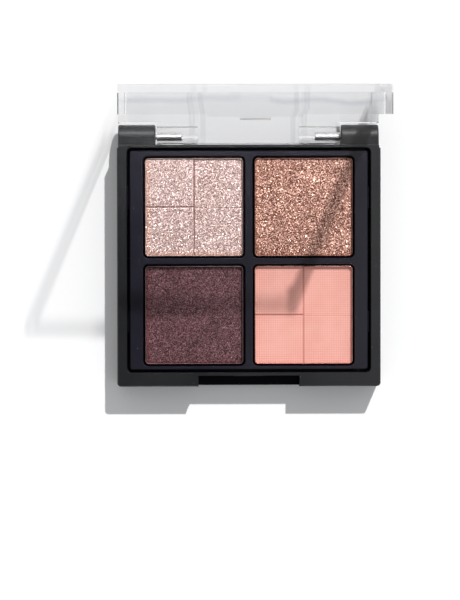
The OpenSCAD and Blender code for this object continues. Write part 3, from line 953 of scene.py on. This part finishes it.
class COMPACT_OT_pans(bpy.types.Operator):
    """Make the four tin pans and give the glue under them its finish"""

    bl_idname = "compact.pans"
    bl_label = "Pans and glue"

    def execute(self, context):
        glue = adhesive()
        # each pan's tin is tinted towards the colour of its powder
        tints = {"champagne": (1.2, 1.15, 1.1), "rose_gold": (0.75, 0.5, 0.42),
                 "plum": (0.6, 0.5, 0.55), "peach": (1.5, 1.05, 0.95)}
        for shade in SHADES:
            tin = tinplate(shade, tints[shade])
            fasten(pan_piece(shade, tin), "case", "tin_pan", "pan_" + shade)
            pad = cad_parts["pad_" + shade].data
            pad.materials.clear()
            pad.materials.append(glue)
        return {"FINISHED"}


class COMPACT_OT_pins(bpy.types.Operator):
    """Make the two steel hinge pins"""

    bl_idname = "compact.pins"
    bl_label = "Hinge pins"

    def execute(self, context):
        steel = drawn_steel()
        for side in ("left", "right"):
            fasten(pin_piece(side, steel), "case", "hinge_pin", "hinge_pin_" + side)
        return {"FINISHED"}


class COMPACT_OT_powders(bpy.types.Operator):
    """Press the four powders and scatter the pearl flakes on the shimmering ones"""

    bl_idname = "compact.powders"
    bl_label = "Pressed powders"

    def execute(self, context):
        press = context.scene.compact_press
        warm = {"champagne": (1.03, 0.92, 0.84), "rose_gold": (1.0, 0.95, 0.9), "plum": (1.1, 0.92, 0.9)}
        pearls = {
            "champagne": dict(grain=0.15 * MM, tilt=0.5, spread=1.05, metallic=0.35, roughness=0.6),
            "rose_gold": dict(grain=0.17 * MM, tilt=0.6, spread=1.3, metallic=0.4, roughness=0.58),
            "plum": dict(grain=0.15 * MM, tilt=0.35, spread=1.25, metallic=0.25, roughness=0.6),
        }
        lumps = {"champagne": 0.03 * MM, "rose_gold": 0.035 * MM, "plum": 0.008 * MM, "peach": 0.004 * MM}
        cakes = {}
        for shade in SHADES:
            powder = pearl_powder(shade, warm[shade], **pearls[shade]) if shade in pearls else matte_powder()
            quartered = shade in ("champagne", "peach")
            weave = press.weave_depth if shade == "peach" else 0.0
            cakes[shade] = cake_piece(shade, powder, lumps[shade], quartered, weave)
        for shade, scattered in self.coat(press, warm, cakes).items():
            fasten(scattered, "case", "powder_" + shade)
        for shade, cake in cakes.items():
            fasten(cake, "case", "powder_" + shade, "powder_" + shade)
        return {"FINISHED"}

    def coat(self, press, warm, cakes):
        """Scatters pearl flakes on the shimmering cakes; densities are in flakes for a square metre."""
        flakes = {
            "champagne": {"density": 22e6, "tilt": 0.45, "stops": [
                (0.0, (0.16, 0.07, 0.05)), (0.3, (0.50, 0.32, 0.285)),
                (0.65, (0.88, 0.68, 0.65)), (1.0, (1.0, 0.97, 0.95))]},
            "rose_gold": {"density": 24e6, "tilt": 0.5, "stops": [
                (0.0, (0.04, 0.01, 0.006)), (0.3, (0.23, 0.092, 0.065)),
                (0.65, (0.70, 0.38, 0.295)), (1.0, (1.0, 0.80, 0.68))]},
            "plum": {"density": 1.6e6, "tilt": 0.4, "stops": [
                (0.0, (0.10, 0.04, 0.045)), (0.5, (0.30, 0.16, 0.18)),
                (0.85, (0.50, 0.32, 0.34)), (1.0, (0.95, 0.75, 0.78))]},
        }
        scattered = {}
        for shade, spread in flakes.items():
            pearl = flake_material(shade + "_pearl", spread["stops"], warm[shade])
            scattered[shade] = scatter_flakes(cakes[shade], shade + "_flakes", {
                "Density": spread["density"], "Flake Size": press.flake_size, "Size Spread": 0.5,
                "Tilt": spread["tilt"], "Seed": 7, "Material": pearl})
        return scattered


class COMPACT_OT_lid(bpy.types.Operator):
    """Mould the clear lid"""

    bl_idname = "compact.lid"
    bl_label = "Clear lid"

    def execute(self, context):
        lid = moulded_copy("lid", "clear_lid", clear_plastic())
        self.sharpen_edges(lid, context.scene.compact_lid)
        fasten(lid, "lid", "clear_lid", "lid")
        return {"FINISHED"}

    def sharpen_edges(self, lid, finish):
        """Narrows the broken edges of the lid on every outer side but the front and the foot."""
        low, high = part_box("lid")
        for vert in lid.data.vertices:
            for axis in range(3):
                depth = high[axis] - vert.co[axis]
                if 0 < depth < finish.edge_break:
                    vert.co[axis] = high[axis] - depth * finish.edge_keenness
            reach = vert.co.x - low.x
            if 0 < reach < finish.edge_break:
                vert.co.x = low.x + reach * finish.edge_keenness


class COMPACT_OT_stage(bpy.types.Operator):
    """Set the white table, the lamp, the light from all round and the camera"""

    bl_idname = "compact.stage"
    bl_label = "Table, lamp and camera"

    def execute(self, context):
        setup = context.scene.compact_studio
        self.lay_table(setup)
        self.hang_lamp(setup)
        self.hang_softbox(setup)
        self.light_room(setup)
        self.set_camera(setup)
        return {"FINISHED"}

    def lay_table(self, setup):
        half_width = 4.0
        gap = 0.03 * MM  # keeps the table clear of the case's underside
        material, tree, shader = new_material("white_table", {"Roughness": 0.9, "Specular IOR Level": 0.1})
        fibre = cloud(tree, object_place(tree), 900.0, 2.0)
        pale = tuple(0.985 * channel for channel in setup.table_color)
        toned = ramp(tree, fibre, [(0.0, pale), (1.0, setup.table_color)])
        tree.links.new(toned, shader.inputs["Base Color"])
        bm = bmesh.new()
        bmesh.ops.create_grid(bm, x_segments=1, y_segments=1, size=half_width)
        bmesh.ops.translate(bm, verts=bm.verts, vec=(0, 0, CAD_BOX[0].z - gap))
        new_piece("table", bm, material)

    def hang_lamp(self, setup):
        lamp = bpy.data.lights.new("key", "SUN")
        lamp.energy = setup.key_strength
        lamp.angle = setup.key_softness
        key = bpy.data.objects.new("key", lamp)
        key.rotation_euler = Vector(setup.key_direction).to_track_quat("Z", "Y").to_euler()
        bpy.context.scene.collection.objects.link(key)

    def hang_softbox(self, setup):
        material = bpy.data.materials.new("softbox")
        material.use_nodes = True
        tree = material.node_tree
        tree.nodes.clear()
        glow = add_node(tree, "ShaderNodeEmission", {
            "Color": (1, 1, 1, 1), "Strength": setup.softbox_strength})
        tree.links.new(glow.outputs[0], add_node(tree, "ShaderNodeOutputMaterial").inputs["Surface"])
        bm = bmesh.new()
        bmesh.ops.create_grid(bm, x_segments=1, y_segments=1, size=setup.softbox_half)
        bmesh.ops.translate(bm, verts=bm.verts, vec=setup.softbox_place)
        panel = new_piece("softbox", bm, material)
        panel.visible_camera = False
        panel.visible_diffuse = False
        panel.visible_shadow = False
        panel.visible_transmission = False

    def light_room(self, setup):
        world = bpy.data.worlds.new("room")
        world.use_nodes = True
        tree = world.node_tree
        tree.nodes.clear()
        rays = add_node(tree, "ShaderNodeLightPath").outputs
        seen = calc(tree, "MAXIMUM", rays["Is Glossy Ray"], rays["Is Transmission Ray"])
        seen = calc(tree, "MAXIMUM", seen, rays["Is Camera Ray"])
        seen = calc(tree, "MULTIPLY", seen, calc(tree, "LESS_THAN", rays["Diffuse Depth"], 0.5))
        ambient = add_node(tree, "ShaderNodeBackground", {
            "Color": (0.98, 0.99, 1.0, 1), "Strength": setup.ambient})
        heading = axes(tree, add_node(tree, "ShaderNodeTexCoord").outputs["Generated"])
        dim = (setup.ceiling, setup.ceiling, setup.ceiling * 1.1)
        walls = ramp(tree, heading["Z"], [(0.2, (1, 1, 1)), (0.75, dim)])
        front = fade(tree, heading["Y"], -0.9, 0.2, 1.0 - setup.front_wall, 0.0)
        level = calc(tree, "SUBTRACT", 1.0, calc(tree, "MULTIPLY", front, rays["Is Glossy Ray"]))
        white = add_node(tree, "ShaderNodeBackground", {"Color": walls, "Strength": level})
        mixed = add_node(tree, "ShaderNodeMixShader", {0: seen, 1: ambient.outputs[0], 2: white.outputs[0]})
        out = add_node(tree, "ShaderNodeOutputWorld")
        tree.links.new(mixed.outputs[0], out.inputs["Surface"])
        bpy.context.scene.world = world
        bpy.context.scene.view_settings.view_transform = "Standard"

    def set_camera(self, setup):
        data = bpy.data.cameras.new("camera")
        data.sensor_width = 36.0
        data.lens = setup.focal_px / max(FRAME_W, FRAME_H) * data.sensor_width
        data.clip_start, data.clip_end = 0.01, 20.0
        camera = bpy.data.objects.new("camera", data)
        camera.location = setup.camera_place
        camera.rotation_euler = Euler(setup.camera_turn, "XYZ")
        bpy.context.scene.collection.objects.link(camera)
        bpy.context.scene.camera = camera


class COMPACT_PT_panel(bpy.types.Panel):
    """Lists the steps that dress the compact"""

    bl_label = "Eyeshadow compact"
    bl_idname = "COMPACT_PT_panel"
    bl_space_type = "VIEW_3D"
    bl_region_type = "UI"
    bl_category = "Compact"

    def draw(self, context):
        for group in SETTINGS:
            box = self.layout.box()
            values = getattr(context.scene, group)
            for name in values.__annotations__:
                box.prop(values, name)
        for step in STEPS:
            self.layout.operator(step.bl_idname)


SETTINGS = {
    "compact_case": CaseFinish,
    "compact_metal": MetalFinish,
    "compact_press": PowderPress,
    "compact_shades": PowderShades,
    "compact_lid": LidFinish,
    "compact_studio": StudioSetup,
}
STEPS = (
    COMPACT_OT_case,
    COMPACT_OT_pans,
    COMPACT_OT_pins,
    COMPACT_OT_powders,
    COMPACT_OT_lid,
    COMPACT_OT_stage,
)


def register():
    for made in (*SETTINGS.values(), *STEPS, COMPACT_PT_panel):
        bpy.utils.register_class(made)
    for name, group in SETTINGS.items():
        setattr(bpy.types.Scene, name, bpy.props.PointerProperty(type=group))


def unregister():
    for name in SETTINGS:
        delattr(bpy.types.Scene, name)
    for made in reversed((*SETTINGS.values(), *STEPS, COMPACT_PT_panel)):
        bpy.utils.unregister_class(made)


def main():
    register()
    bpy.ops.compact.case()
    bpy.ops.compact.pans()
    bpy.ops.compact.pins()
    bpy.ops.compact.powders()
    bpy.ops.compact.lid()
    bpy.ops.compact.stage()


if __name__ == "__main__":
    main()
